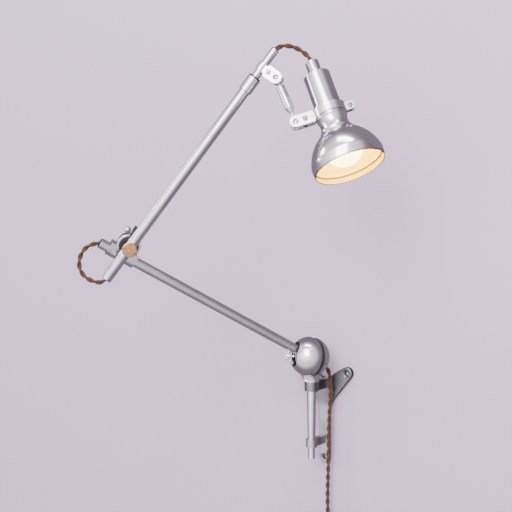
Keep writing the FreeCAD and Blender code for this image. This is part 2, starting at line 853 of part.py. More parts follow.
def make_lampholder():
    round_, wall, top = size["holder_round"], size["holder_wall"], size["holder_top"]
    cap = turned("holder_cap", [
        (size["flex_round"] + 0.6, size["cap_top"] - 2.0),
        (size["flex_round"] + 0.6, size["cap_top"]),
        (size["cap_round"] - 0.8, size["cap_top"]),
        (size["cap_round"], size["cap_top"] - 0.8),
        (size["cap_round"], size["cap_foot"]),
        (size["cap_round"] + 1.2, size["cap_foot"] - 0.5),
        (round_ - 1.0, top + 0.6),
        (round_, top),
        (round_ - wall, top),
        (size["cap_round"] - 1.4, size["cap_foot"] - 3.0),
        (size["cap_round"] - 1.4, size["cap_top"] - 2.0),
    ], at_lamp)
    half = size["band_tall"] / 2 + 0.1
    body = turned("holder_body", [
        (round_ - wall, -15.0),
        (round_, -15.0),
        (round_, half),
        (round_ + 1.6, half),
        (round_ + 1.6, half + 3.6),
        (round_ + 0.9, half + 4.4),
        (round_, half + 4.4),
        (round_, top),
        (round_ - wall, top),
    ], at_lamp)
    insulator = turned("holder_insulator", [
        (0, 24.0),
        (round_ - wall, 24.0),
        (round_ - wall, 34.0),
        (11.0, 38.0),
        (0, 38.0),
    ], at_lamp)
    shell = turned("holder_shell", [
        (13.4, -6.0),
        (14.4, -6.0),
        (14.4, 23.9),
        (13.4, 23.9),
    ], at_lamp)
    grip = turned("cap_grip", [
        (size["flex_round"] + 0.05, size["cap_top"] - 7.0),
        (size["flex_round"] + 0.6, size["cap_top"] - 7.0),
        (size["flex_round"] + 0.6, size["cap_top"]),
        (size["flex_round"] + 1.8, size["cap_top"]),
        (size["flex_round"] + 1.4, size["cap_top"] + 1.4),
        (size["flex_round"] + 0.05, size["cap_top"] + 1.4),
    ], at_lamp)
    ring = turned("shade_ring", [
        (round_, -half - 4.4),
        (round_ + 2.6, -half - 4.4),
        (round_ + 3.2, -half - 3.4),
        (round_ + 3.2, -half - 0.9),
        (round_ + 2.4, -half),
        (round_, -half),
    ], at_lamp)
    return cap, body, insulator, shell, grip, ring


def make_shade():
    """A spun bell with a waisted neck, a bead, an outer groove and a step above its rim."""
    wall, foot, rim, neck = size["shade_wall"], size["rim_foot"], size["rim_round"], size["neck_foot"]
    top = -size["band_tall"] / 2 - 4.6
    step = foot + 9.5
    groove = foot + 14.5
    return turned("shade", [
        (size["holder_round"] + 0.05, top),
        (size["holder_round"] + 2.6, top),
        (20.2, top - 9.0, 24.0),
        (21.6, neck + 1.0, 40.0),
        (23.2, neck - 0.4),
        (23.2, neck - 2.2),
        (22.0, neck - 3.2),
        (rim + 1.2, groove, -66.0),
        (rim + 0.6, groove - 0.6),
        (rim + 1.4, groove - 1.2),
        (rim, foot, -50.0),
        (rim - wall, foot),
        (rim - wall + 1.0, step - 0.4, 50.0),
        (rim - wall - 0.8, step),
        (rim - wall - 0.4, groove + 1.0),
        (20.9, neck - 3.9, 64.0),
        (19.8, neck + 1.5),
        (18.9, top - 9.0),
        (size["holder_round"] + 0.05, top - 5.2),
    ], at_lamp)


def make_bulb():
    glass = size["bulb_round"]
    centre = size["rim_foot"] + 4.0 + glass
    neck_foot = centre + root(glass * glass - 18.0 * 18.0)
    bulb = turned("bulb_glass", [
        (0, centre - glass),
        (18.0, neck_foot, float(glass) + 0.0001),
        (16.0, neck_foot + 8.0),
        (12.6, -8.0),
        (11.4, -8.0),
        (14.8, neck_foot + 8.0),
        (16.8, neck_foot - 0.6),
        (0, centre - glass + 1.2, -float(glass) + 1.0),
    ], at_lamp)
    cap = turned("bulb_cap", [
        (0, 22.5),
        (4.5, 22.5),
        (9.5, 18.0),
        (13.1, 16.0),
        (13.1, -8.0),
        (12.3, -8.0),
        (12.3, 15.4),
        (9.0, 17.2),
        (4.2, 21.7),
        (0, 21.7),
    ], at_lamp)
    return bulb, cap


# ---------------------------------------------------------------- flex

def cord(name, route, radius):
    """A tube of straight runs joined by tangent arcs; prints each arc's radius and the volume's error."""
    points = [Vector(*p) for p in route]
    edges, here, radii = [], points[0], []
    for before, corner, after in zip(points, points[1:], points[2:]):
        arriving, leaving = (corner - before), (after - corner)
        half_turn = arriving.getAngle(leaving) / 2
        cut_back = 0.45 * min(arriving.Length, leaving.Length)
        radii.append(round(cut_back / math.tan(half_turn), 1))
        first = corner - arriving.normalize() * cut_back
        last = corner + leaving.normalize() * cut_back
        inward = (leaving - arriving).normalize()
        bend = cut_back / math.tan(half_turn)
        middle = corner + inward * (bend / math.cos(half_turn) - bend)
        edges.append(Part.LineSegment(here, first).toShape())
        edges.append(Part.Arc(first, middle, last).toShape())
        here = last
    edges.append(Part.LineSegment(here, points[-1]).toShape())
    path = Part.Wire(edges)
    start_way = (points[1] - points[0]).normalize()
    ring = Part.Wire([Part.Circle(points[0], start_way, radius).toShape()])
    tube = path.makePipeShell([ring], True, False)
    expected = math.pi * radius * radius * path.Length
    filled = round(tube.Volume / expected, 4)
    print(name, "long", round(path.Length, 1), "radii", radii, "volume ratio", filled)
    made = doc.addObject("Part::Feature", name)
    made.Shape = tube
    made.Label = name
    return made


ELBOW_ROUTE = [
    (-202, -362, 290),
    (-210, -369, 280),
    (-214, -372, 267),
    (-213, -372, 253),
    (-206, -368, 241),
    (-194, -361, 234),
]
HEAD_ROUTE = [
    (65, -241.5, 575.5),
    (72, -234, 576),
    (80, -227, 573.5),
    (87, -222, 569),
    (93, -218.5, 563),
]
MAINS_ROUTE = [
    (13.4, -16.6, 77.5),
    (15.6, -15.2, 67),
    (17, -15, 52),
    (17, -15.5, 33),
    (15, -15.5, 9),
    (14, -15.5, -22),
    (13.6, -15.8, -58),
    (12.4, -16, -96),
    (11.4, -16, -134),
    (11.6, -16, -164),
    (15, -16, -181),
    (24, -16, -195),
    (36, -16, -206),
]
COIL_CENTRE = (12, -16, -241)
TAIL_ROUTE = [
    (51, -16, -252),
    (52.5, -16.5, -268),
    (52, -17.5, -284),
    (51, -18, -300),
]


def end_of(place, beyond=0.0):
    spot = place.multVec(Vector(0, 0, float(beyond)))
    return (spot.x, spot.y, spot.z)


def make_cords():
    radius = float(size["flex_round"])
    elbow = cord("elbow_cord", [
        end_of(at_arm, size["arm_long"] + 1.25),
        *ELBOW_ROUTE,
        end_of(at_upper, -size["upper_below"] - 8.0),
        end_of(at_upper, -size["upper_below"] + 9.0),
    ], radius)
    head = cord("head_cord", [
        end_of(at_upper, size["inner_end"] + 1.05),
        *HEAD_ROUTE,
        end_of(at_lamp, size["cap_top"] + 8.0),
        end_of(at_lamp, size["cap_top"] - 8.0),
    ], radius)
    mains = cord("mains_cord", [end_of(at_outlet, 3.3), end_of(at_outlet, 9.0), *MAINS_ROUTE], radius)
    tail = cord("plug_cord", TAIL_ROUTE, radius)
    inside = cord("housing_flex", [
        end_of(at_arm, 2.0),
        end_of(at_arm, -12.0),
        end_of(at_outlet, -10.0),
        end_of(at_outlet, 3.0),
    ], radius)
    coil = doc.addObject("Part::Torus", "cord_coil")
    bind(coil, "Radius1", size["coil_round"])
    bind(coil, "Radius2", size["coil_thick"])
    coil.Placement = Placement(Vector(*COIL_CENTRE), ALONG_Y)
    coil.Label = "cord_coil"
    return elbow, head, mains, tail, inside, coil


def make_coil_tie():
    """A band round the coil's bottom bundle."""
    place = Placement(Vector(*COIL_CENTRE), Rotation()) * at(0, 0, -size["coil_round"], ALONG_X)
    return turned("coil_tie", [
        (size["coil_thick"] + 0.3, -4.0),
        (size["coil_thick"] + 1.6, -4.0),
        (size["coil_thick"] + 1.6, 4.0),
        (size["coil_thick"] + 0.3, 4.0),
    ], place)


def make_plug():
    """A plain round two-pin plug that hangs on the free end."""
    place = Placement(Vector(*TAIL_ROUTE[-1]), HALF_TURN)
    body = turned("plug_body", [
        (0, 0.05),
        (5.2, 0.05),
        (6.4, 9.0),
        (13.0, 17.0),
        (15.2, 21.0),
        (15.2, 36.0),
        (14.0, 38.0),
        (0, 38.0),
    ], place)
    pins = [cylinder(2.4, 19, place * at(side * 9.5, 0, 38.0)) for side in (1, -1)]
    return body, group("plug_pins", *pins)


# ---------------------------------------------------------------- assembly

keep.append(make_wall_bracket())
keep.append(make_swivel_spindle())
keep.append(make_rear_cup())
keep.extend(make_housing_rings())
keep.append(make_front_dome())
keep.append(make_lock_screw())
keep.extend(make_lower_arm())
keep.append(make_elbow_clamp())
keep.extend(make_elbow_hardware())
keep.append(make_wing_nut())
keep.extend(make_upper_arm())
keep.extend(make_inner_arm())
keep.append(make_top_strap())
keep.append(screw("top_screw", at_strap * at(14.5, 0, CHEEK_FACE), 2.0, 12.0, 3.7, 2.2))
keep.append(make_ball_rod())
at_rear_band = at_band * Placement(Vector(), HALF_TURN)
keep.append(make_band("band_front", at_band))
keep.append(make_band("band_rear", at_rear_band))
band_screw_places = (
    ("band_screw_long", at_band * at(size["band_reach"] - 13.5, 0, CHEEK_FACE), 12.0),
    ("band_screw_short", at_band * at(-29.2, 0, 4.4), 8.8),
)
band_screws = [screw(name, place, 2.0, long, 3.7, 2.2) for name, place, long in band_screw_places]
keep.append(group("band_screws", *band_screws))
keep.extend(make_lampholder())
keep.append(make_shade())
keep.extend(make_bulb())
keep.extend(make_cords())
keep.append(make_coil_tie())
keep.extend(make_plug())

doc.recompute()

for item in doc.Objects:
    if "Invalid" in item.State or "Error" in item.State:
        raise RuntimeError(f"{item.Name} ({item.Label}) failed: {item.State}")
for item in keep:
    if item.Shape.isNull() or not item.Shape.isValid() or not item.Shape.Solids:
        raise RuntimeError(f"{item.Label} has no valid shape")

os.makedirs("parts", exist_ok=True)
for item in keep:
    item.Shape.exportStep(f"parts/{item.Label}.step")
print(len(keep), "sub-parts written")
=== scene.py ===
# %% [markdown]
# # A swing arm wall sconce
# The lamp hangs on a wall by a cast bracket. A ball housing on a swivel pin carries a tubular
# arm, a clamp at the elbow carries a second, telescoping arm, and a short ball-ended rod holds
# the lampholder with its small bell shade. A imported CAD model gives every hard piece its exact
# place. Here it gets its camera, its light, its twisted flex and its finishes.

import json
import math

import bmesh
import bpy
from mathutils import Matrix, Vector


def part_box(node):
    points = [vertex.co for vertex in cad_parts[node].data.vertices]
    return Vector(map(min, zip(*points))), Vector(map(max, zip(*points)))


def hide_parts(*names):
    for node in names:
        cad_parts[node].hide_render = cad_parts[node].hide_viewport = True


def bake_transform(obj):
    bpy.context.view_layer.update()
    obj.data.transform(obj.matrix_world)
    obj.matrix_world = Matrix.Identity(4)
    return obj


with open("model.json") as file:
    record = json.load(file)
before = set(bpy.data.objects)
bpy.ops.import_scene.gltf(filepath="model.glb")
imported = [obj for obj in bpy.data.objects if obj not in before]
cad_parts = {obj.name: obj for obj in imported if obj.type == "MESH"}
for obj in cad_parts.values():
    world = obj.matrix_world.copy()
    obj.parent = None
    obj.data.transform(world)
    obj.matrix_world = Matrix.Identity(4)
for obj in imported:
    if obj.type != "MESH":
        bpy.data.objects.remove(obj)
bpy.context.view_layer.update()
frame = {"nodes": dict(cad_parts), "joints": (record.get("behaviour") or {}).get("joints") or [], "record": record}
nodes = frame["nodes"]
scene = bpy.context.scene

# %% [markdown]
# ## Camera
# The lamp is seen from the right of its bracket, level, and from a little over a metre, so
# the far arm shrinks only slightly.

# %% Camera
AZIMUTH = math.radians(35)
EYE = (0.6955, -1.2061, 0.2728)
camera_data = bpy.data.cameras.new("camera")
camera_data.lens = 56.25
camera_data.sensor_width = 36
camera_data.clip_end = 50
camera = bpy.data.objects.new("camera", camera_data)
camera.location = EYE
camera.rotation_euler = (math.radians(90), 0, AZIMUTH)
scene.collection.objects.link(camera)
scene.camera = camera
print("camera at", EYE, "turned", round(math.degrees(AZIMUTH)), "degrees")

# %% [markdown]
# ## Places on the lamp
# The finishes and the flex follow the axes of the pieces. The joints and mounts of the frame
# give them: a place is a point and a way is a direction. The bell's axis has no joint, so it is
# given by its two angles. It stands square to the joint at the rod's foot, as far from it as
# the band's ear reaches. Places are rounded to a hundredth of a millimetre.

# %% Places
LAMP_TURN = math.radians(12.4)
LAMP_FALL = math.radians(65.1)
EAR_REACH = 0.050
joints = {joint["name"]: joint for joint in frame["joints"]}
mounts = {mount["name"]: mount for mount in frame["record"]["mounts"]}


def rounded(numbers, digits):
    return Vector([round(number, digits) for number in numbers])


def place_of(joint):
    return rounded(joints[joint]["pos_m"], 5)


def way_of(joint):
    return rounded(joints[joint]["axis"], 4).normalized()


BALL, POLE = place_of("dome_turn"), way_of("dome_turn")
ARM_WAY = way_of("clamp_roll")
PIVOT, PIVOT_WAY = place_of("elbow_pivot"), way_of("elbow_pivot")
UPPER_FOOT, UPPER_WAY = place_of("collar_turn"), way_of("collar_turn")
LOCK, LOCK_WAY = place_of("lock_screw_turn"), way_of("lock_screw_turn")
PIN = place_of("base_swivel")
ROD_TOP = place_of("rod_top")
rod_foot, rod_foot_way = Vector(joints["rod_foot"]["pos_m"]), Vector(joints["rod_foot"]["axis"])
ROD_WAY = rounded((rod_foot - Vector(joints["rod_top"]["pos_m"])).normalized(), 4).normalized()
LEAN = math.cos(LAMP_FALL)
lamp_up = Vector((-LEAN * math.cos(LAMP_TURN), LEAN * math.sin(LAMP_TURN), math.sin(LAMP_FALL)))
LAMP_UP = rounded(lamp_up, 4).normalized()
LAMP = rounded(rod_foot + lamp_up.cross(rod_foot_way).normalized() * EAR_REACH, 5)
UP = Vector((0, 0, 1))
OUT = Vector((0, -1, 0))
hole_side = mounts["upper_holes"]["dims"]["spacing_x_mm"] / 2000
HOLES = [
    Vector((side, 0, mounts[mount]["pos_m"][2]))
    for side, mount in ((hole_side, "upper_holes"), (-hole_side, "upper_holes"), (0, "lower_hole"))
]
print("lamp", LAMP, "axis", LAMP_UP)

# %% [markdown]
# ## The flex
# Two cores in brown cotton braid are twisted together. The flex leaves the lower tube, loops
# round into the upper one, comes out at the top and enters the lampholder's cap. The mains
# lead leaves the back of the ball housing and hangs behind the pin. Each route is a smooth
# spline that a few given points guide. The strands then wind round that line: STRAND is a
# strand's radius, LAY its distance from the line, and PITCH the length of one full twist.

# %% Routes
STRAND = 0.00205
LAY = 0.00175
PITCH = 0.028
WEAVE_UNIT = 0.0113


def millimetres(points):
    return [Vector(p) / 1000 for p in points]


def route_line(name, points):
    """The points of a smooth spline that given control points guide."""
    curve = bpy.data.curves.new(name, "CURVE")
    curve.dimensions = "3D"
    spline = curve.splines.new("NURBS")
    spline.points.add(len(points) - 1)
    for control, place in zip(spline.points, points):
        control.co = (*place, 1)
    spline.order_u = 3
    spline.use_endpoint_u = True
    spline.resolution_u = 12
    holder = bpy.data.objects.new(name, curve)
    scene.collection.objects.link(holder)
    line = [v.co.copy() for v in bpy.data.meshes.new_from_object(holder).vertices]
    bpy.data.objects.remove(holder)
    return line


def line_length(line):
    return sum((b - a).length for a, b in zip(line, line[1:]))


def even_steps(line, step):
    """The same line, with points at an even spacing."""
    count = max(2, round(line_length(line) / step))
    gap, walked, out, wanted = line_length(line) / count, 0.0, [line[0]], 1
    for a, b in zip(line, line[1:]):
        run = (b - a).length
        while wanted < count and walked + run >= gap * wanted and run > 0:
            out.append(a.lerp(b, (gap * wanted - walked) / run))
            wanted += 1
        walked += run
    out.append(line[-1])
    return out


def twisted_flex(name, line, first=0.0, step=0.0016, sides=10):
    """Two strands wound round a line, with a UV map that runs along each strand."""
    steps = even_steps(line, step)
    ways = [(b - a).normalized() for a, b in zip(steps, steps[1:])]
    ways.append(ways[-1])
    across = ways[0].orthogonal().normalized()
    mesh = bmesh.new()
    map_layer = mesh.loops.layers.uv.new("UVMap")
    rings = {0: [], 1: []}
    walked = 0.0
    for number, (spot, way) in enumerate(zip(steps, ways)):
        across = (across - way * across.dot(way)).normalized()
        beside = way.cross(across)
        if number:
            walked += (spot - steps[number - 1]).length
        for strand in rings:
            turn = first + 2 * math.pi * walked / PITCH + math.pi * strand
            aside = across * math.cos(turn) + beside * math.sin(turn)
            middle = spot + aside * LAY
            ring = []
            for side in range(sides):
                angle = 2 * math.pi * side / sides
                offset = aside * math.cos(angle) + way.cross(aside) * math.sin(angle)
                ring.append(mesh.verts.new(middle + offset * STRAND))
            rings[strand].append((ring, walked))
    for ring_list in rings.values():
        for (low, here), (high, there) in zip(ring_list, ring_list[1:]):
            for side in range(sides):
                after = (side + 1) % sides
                face = mesh.faces.new((low[side], low[after], high[after], high[side]))
                face.smooth = True
                around = (side / sides, (side + 1) / sides)
                for loop, (u, v) in zip(
                    face.loops,
                    ((here, around[0]), (here, around[1]), (there, around[1]), (there, around[0])),
                ):
                    loop[map_layer].uv = (u / WEAVE_UNIT, v)
        mesh.faces.new(list(reversed(ring_list[0][0])))
        mesh.faces.new(ring_list[-1][0])
    data = bpy.data.meshes.new(name)
    mesh.to_mesh(data)
    mesh.free()
    piece = bpy.data.objects.new(name, data)
    scene.collection.objects.link(piece)
    print(name, "is", round(line_length(line), 4), "m long")
    return piece


# %% [markdown]
# ### Elbow loop
# It bends from the end of the lower tube to the end of the upper tube.

# %% Elbow loop
LOWER_TUBE_END = 399.95
UPPER_TUBE_TAIL = 66.0
INTO_UPPER_TUBE = 49.0
elbow_points = millimetres([
    BALL * 1000 + ARM_WAY * LOWER_TUBE_END,
    (-202, -362, 290), (-210, -369, 280), (-214, -372, 267),
    (-213, -372, 253), (-206, -368, 241), (-194, -361, 234),
    UPPER_FOOT * 1000 - UPPER_WAY * UPPER_TUBE_TAIL,
    UPPER_FOOT * 1000 - UPPER_WAY * INTO_UPPER_TUBE,
])
elbow_line = route_line("elbow_route", elbow_points)
elbow_flex = twisted_flex("elbow_flex", elbow_line)
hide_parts("elbow_cord")
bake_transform(elbow_flex)
line_length(elbow_line)

# %% [markdown]
# ### Head loop
# It crosses two joints, so it is made in two stretches that meet near the top of the loop,
# MEET of the way along. Its points are a millimetre apart.

# %% Head loop
CAP_RISE = 84.5
INNER_TUBE_END = 362.65
BESIDE_CAP = 8.0
MEET = 0.36
cap_top = LAMP * 1000 + LAMP_UP * CAP_RISE
head_points = millimetres([
    UPPER_FOOT * 1000 + UPPER_WAY * INNER_TUBE_END,
    (65, -241.5, 575.5), (72, -234, 576), (80, -227, 573.5), (87, -222, 569), (93, -218.5, 563),
    cap_top + LAMP_UP * BESIDE_CAP,
    cap_top - LAMP_UP * BESIDE_CAP,
])
head_line = even_steps(route_line("head_route", head_points), 0.001)
split = round(len(head_line) * MEET)
near_line, far_line = head_line[: split + 1], head_line[split:]
phase = 2 * math.pi * line_length(near_line) / PITCH
near_flex = twisted_flex("head_flex_near", near_line)
far_flex = twisted_flex("head_flex_far", far_line, first=phase)
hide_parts("head_cord")
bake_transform(near_flex)
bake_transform(far_flex)
line_length(far_line)

# %% [markdown]
# ### Mains lead
# It hangs behind the pin and, below the bracket, is wound into a neat tied coil with its plug.
# The coil's turns lie beside and on each other, each a little further round the bundle, and
# the last one ends in the bundle's middle.

# %% Mains lead
OUTLET = Vector((0.00904, -0.02822, 0.08780))
OUTLET_WAY = Vector((0.2697, 0.8292, -0.4895)).normalized()
COIL = Vector((12, -16, -241))
COIL_ROUND = 39.5
TURNS = 6
PER_TURN = 16
BUNDLE = 6.3
ENTER = math.radians(52)
LEAVE = math.radians(-14)
ROUND_BUNDLE = 1.1
TAIL_TURNS = 1.4


def coil_points():
    """Turns that go round the coil, each in its own place in the bundle."""
    sweep = TURNS * 2 * math.pi + ENTER - LEAVE
    count = round(PER_TURN * sweep / (2 * math.pi))
    out = []
    for number in range(count + 1):
        part = number / count
        angle = ENTER - sweep * part
        place = 2 * math.pi * ROUND_BUNDLE * part + math.pi / 2
        depth = min(1.0, (1 - part) * TURNS * TAIL_TURNS)
        out_by = COIL_ROUND + BUNDLE * depth * math.sin(place)
        aside = BUNDLE * depth * math.cos(place)
        out.append(COIL + Vector((math.cos(angle) * out_by, aside, math.sin(angle) * out_by)))
    return out


mains_points = millimetres([
    (OUTLET * 1000) + OUTLET_WAY * 3.3,
    (OUTLET * 1000) + OUTLET_WAY * 9.0,
    (13.4, -16.6, 77.5), (15.6, -15.2, 67), (17, -15, 52), (17, -15.5, 33), (15, -15.5, 9),
    (14, -15.5, -22), (13.6, -15.8, -58), (12.4, -16, -96), (11.4, -16, -134),
    (11.6, -16, -164), (15, -16, -181), (24, -16, -195),
    *coil_points(),
    (52.5, -16.5, -268), (52, -17.5, -284), (51, -18, -300),
])
mains_line = route_line("mains_route", mains_points)
mains_flex = twisted_flex("mains_flex", mains_line)
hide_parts("mains_cord", "cord_coil", "plug_cord")
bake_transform(mains_flex)
line_length(mains_line)

# %% [markdown]
# ## Writing shader maths
# A node graph is easier to read as an expression. This class wraps one socket, and each
# operator adds its Math node.


# %% A socket that does arithmetic
class Value:
    def __init__(self, graph, socket):
        self.graph, self.socket = graph, socket

    def math(self, operation, *others):
        return self.graph.add("ShaderNodeMath", {"operation": operation}, [self, *others])

    def __add__(self, other):
        return self.math("ADD", other)

    def __sub__(self, other):
        return self.math("SUBTRACT", other)

    def __mul__(self, other):
        return self.math("MULTIPLY", other)

    def __rsub__(self, other):
        return self.graph.add("ShaderNodeMath", {"operation": "SUBTRACT"}, [other, self])

    __radd__ = __add__
    __rmul__ = __mul__

    def clamp(self):
        return self.graph.add("ShaderNodeClamp", {}, [self, 0.0, 1.0])

    def band(self, low, high):
        """0 below low, 1 above high, smooth between."""
        settings = {"interpolation_type": "SMOOTHSTEP"}
        return self.graph.add("ShaderNodeMapRange", settings, [self, low, high, 0.0, 1.0])

    def math_vector(self, operation):
        return self.graph.add("ShaderNodeVectorMath", {"operation": operation}, [self], output=1)


class Graph:
    """A material's node tree."""

    def __init__(self, name):
        self.material = bpy.data.materials.new(name)
        self.material.use_nodes = True
        self.tree = self.material.node_tree
        self.shader = self.tree.nodes["Principled BSDF"]

    def add(self, kind, settings=None, inputs=(), output=0):
        node = self.tree.nodes.new(kind)
        for word, setting in (settings or {}).items():
            setattr(node, word, setting)
        pairs = inputs.items() if isinstance(inputs, dict) else enumerate(inputs)
        for slot, given in pairs:
            self.feed(node.inputs[slot], given)
        return Value(self, node.outputs[output])

    def feed(self, socket, given):
        if isinstance(given, Value):
            self.tree.links.new(given.socket, socket)
        elif given is not None:
            socket.default_value = given

    def shade(self, **inputs):
        for word, given in inputs.items():
            self.feed(self.shader.inputs[word.replace("_", " ")], given)
        return self.material

    def place(self, centre=None, way=None, stretch=(1, 1, 1)):
        """Object coordinates, moved to a centre, turned so Z lies along way, and stretched."""
        spot = self.add("ShaderNodeTexCoord", output=3)
        centre, way = centre or Vector(), way or UP
        turn = way.to_track_quat("Z", "Y").inverted().to_matrix().to_euler()
        spot = self.add("ShaderNodeVectorMath", {"operation": "SUBTRACT"}, [spot, tuple(centre)])
        return self.add(
            "ShaderNodeMapping", {"vector_type": "POINT"},
            [spot, (0, 0, 0), tuple(turn), tuple(stretch)],
        )

    def axes(self, spot):
        """The three numbers of a point or direction."""
        node = self.add("ShaderNodeSeparateXYZ", {}, [spot]).socket.node
        return [Value(self, socket) for socket in node.outputs]

    def noise(self, spot, scale, detail=4.0, rough=0.55):
        inputs = {"Vector": spot, "Scale": scale, "Detail": detail, "Roughness": rough}
        return self.add("ShaderNodeTexNoise", {}, inputs)

    def mix(self, amount, low, high):
        settings = {"data_type": "RGBA"}
        inputs = {0: amount, 6: low, 7: high}
        return self.add("ShaderNodeMix", settings, inputs, output=2)

    def bump(self, height, strength, distance=0.0005):
        inputs = {"Strength": strength, "Distance": distance, "Height": height}
        return self.add("ShaderNodeBump", {}, inputs)


def colour(red, green, blue):
    return (red, green, blue, 1.0)


# %% [markdown]
# ## Polished metal
# The tubes, the housing and the holder are aluminium, polished on a lathe or along a belt.
# Real polish is never even: fine lines run the way the wheel went, and a faint haze varies
# over the piece. Stretching the noise along or around the piece gives both.

# %% Polished metal


def polished(name, centre, way, along=True, base=(0.74, 0.72, 0.755), rough=0.15, haze=0.12):
    graph = Graph(name)
    stretch = (1, 1, 0.03) if along else (0.04, 0.04, 1)
    lines = graph.noise(graph.place(centre, way, stretch), 900.0, 3.0)
    cloud = graph.noise(graph.place(centre, way), 38.0, 5.0)
    specks = graph.noise(graph.place(centre, way), 420.0, 2.0).band(0.60, 0.72)
    roughness = lines * 0.06 + cloud * haze + specks * 0.05 + (rough - 0.06)
    dull = tuple(part * 0.84 for part in base)
    tint = graph.mix(cloud.band(0.35, 0.75), colour(*base), colour(*dull))
    normal = graph.bump(lines * 0.7 + cloud * 0.3, 0.05, 0.0002)
    return graph.shade(
        Base_Color=tint, Metallic=1.0, Roughness=roughness.clamp(), Normal=normal,
    )


# %% [markdown]
# ## Cast metal
# The bracket, the pin and the clamp are sand castings, tumbled and polished over. Small
# pits and soft waves stay, and dirt keeps the low places darker. Each screw hole is painted
# near black inside and round its edge, as painted shade. Above a given height the bracket is
# painted darker, partly a darker patina and partly a painted shadow of the lamp over its arms.

# %% Cast metal
# Height over which the darker patina and painted shadow on the bracket's top fade in.
PATINA_AND_SHADOW_FADE = 0.014


def cast(name, rough=0.22, base=(0.70, 0.685, 0.72), holes=(), arms=None):
    graph = Graph(name)
    wave = graph.noise(graph.place(), 55.0, 6.0, 0.6)
    grain = graph.noise(graph.place(), 620.0, 3.0)
    pits = graph.noise(graph.place(), 240.0, 2.0).band(0.66, 0.76)
    stain = wave.band(0.48, 0.78)
    dark = tuple(part * 0.62 for part in base)
    tint = graph.mix(stain, colour(*base), colour(*dark))
    tint = graph.mix(pits * 0.8, tint, colour(0.20, 0.18, 0.20))
    # Painted shade: each screw hole is painted near black inside and fades out round its edge.
    for hole in holes:
        away = graph.place(hole, OUT, (1, 1, 0)).math_vector("LENGTH")
        hole_shade_mask = 1 - away.band(0.0050, 0.0072)
        tint = graph.mix(hole_shade_mask * 0.92, tint, colour(0.05, 0.042, 0.048))
    # Above the given height the bracket is painted darker: partly patina, partly painted shadow of the lamp.
    if arms is not None:
        rise = graph.axes(graph.place())[2]
        patina_and_shadow = (rise + wave * 0.02).band(arms, arms + PATINA_AND_SHADOW_FADE)
        tint = graph.mix(patina_and_shadow * 0.75, tint, colour(0.13, 0.125, 0.135))
    roughness = wave * 0.22 + grain * 0.08 + pits * 0.2 + (rough - 0.10)
    height = wave * 0.6 + grain * 0.15 - pits * 0.5
    normal = graph.bump(height, 0.22, 0.0006)
    return graph.shade(
        Base_Color=tint, Metallic=1.0, Roughness=roughness.clamp(), Normal=normal,
    )


# %% [markdown]
# ## Black fittings, rubber and other small finishes
# Moulded nylon has a fine even grain and a dull shine, and rubber is softer still.

# %% Dark plastic and rubber


def moulded(name, base, rough, grain=700.0, wear=0.25, metallic=0.0):
    graph = Graph(name)
    fine = graph.noise(graph.place(), grain, 3.0)
    broad = graph.noise(graph.place(), 60.0, 4.0)
    pale = tuple(min(1.0, part * 1.7 + 0.02) for part in base)
    tint = graph.mix(broad.band(0.45, 0.8) * wear, colour(*base), colour(*pale))
    roughness = fine * 0.15 + broad * 0.12 + (rough - 0.13)
    return graph.shade(
        Base_Color=tint, Metallic=metallic, Roughness=roughness.clamp(),
        Normal=graph.bump(fine, 0.25, 0.0002),
    )


# %% [markdown]
# ## Copper disc
# The round head of the elbow bolt has tarnished to mottled orange copper, turned on a lathe.

# %% Copper


def tarnished(name, centre, way):
    graph = Graph(name)
    rings = graph.noise(graph.place(centre, way, (0.05, 0.05, 1)), 500.0, 3.0)
    spots = graph.noise(graph.place(centre, way), 260.0, 6.0, 0.65)
    broad = graph.noise(graph.place(centre, way), 110.0, 3.0)
    tint = graph.mix(spots.band(0.40, 0.66), colour(0.82, 0.47, 0.22), colour(0.46, 0.20, 0.08))
    tint = graph.mix(broad.band(0.50, 0.78), tint, colour(0.90, 0.60, 0.33))
    roughness = spots * 0.30 + rings * 0.05 + 0.18
    return graph.shade(
        Base_Color=tint, Metallic=0.85, Roughness=roughness.clamp(),
        Normal=graph.bump(spots, 0.15, 0.0003),
    )


# %% [markdown]
# ## Cotton braid
# The braid is two sets of threads that cross at a slant. The strand's own UV map runs along
# and around it, so two sine waves that run opposite ways make the crossing threads.

# %% Braid
THREADS_ALONG = 40.0
THREADS_AROUND = 37.7


def braid(name):
    graph = Graph(name)
    spot = graph.add("ShaderNodeUVMap", {"uv_map": "UVMap"})
    along, around, _ = graph.axes(spot)
    one = (along * THREADS_ALONG + around * THREADS_AROUND).math("SINE")
    two = (along * THREADS_ALONG - around * THREADS_AROUND).math("SINE")
    weave = one * two * 0.5 + 0.5
    fuzz = graph.noise(graph.place(), 1600.0, 4.0)
    worn = graph.noise(graph.place(), 140.0, 3.0)
    tint = graph.mix(weave, colour(0.036, 0.014, 0.006), colour(0.155, 0.068, 0.028))
    tint = graph.mix(worn.band(0.35, 0.75) * 0.5, tint, colour(0.080, 0.032, 0.013))
    tint = graph.mix(fuzz.band(0.62, 0.75) * 0.5, tint, colour(0.24, 0.14, 0.08))
    height = weave * 0.8 + fuzz * 0.4
    return graph.shade(
        Base_Color=tint, Roughness=(fuzz * 0.2 + 0.68).clamp(), Sheen_Weight=0.12,
        Sheen_Roughness=0.5, Normal=graph.bump(height, 0.6, 0.0004),
    )


# %% [markdown]
# ## Shade, bulb and glow
# The bell is polished outside. Inside it is painted straw yellow, a painted glow of the
# bulb's warm light on it. The inside is found by the surface's own direction, which points
# towards the lamp's axis there. A thin ledge runs round inside the mouth, with a dark line
# painted along it as painted shade, and the rolled rim is dark. Heights are in metres from the
# middle of the lampholder's band, up the lamp's axis.

# %% Shade and bulb
RIM_EDGE = (-0.0880, -0.0868)
LEDGE_FOOT = (-0.0798, -0.0794)
LEDGE_TOP = (-0.0786, -0.0780)
GLOW_STRENGTH = 10.0


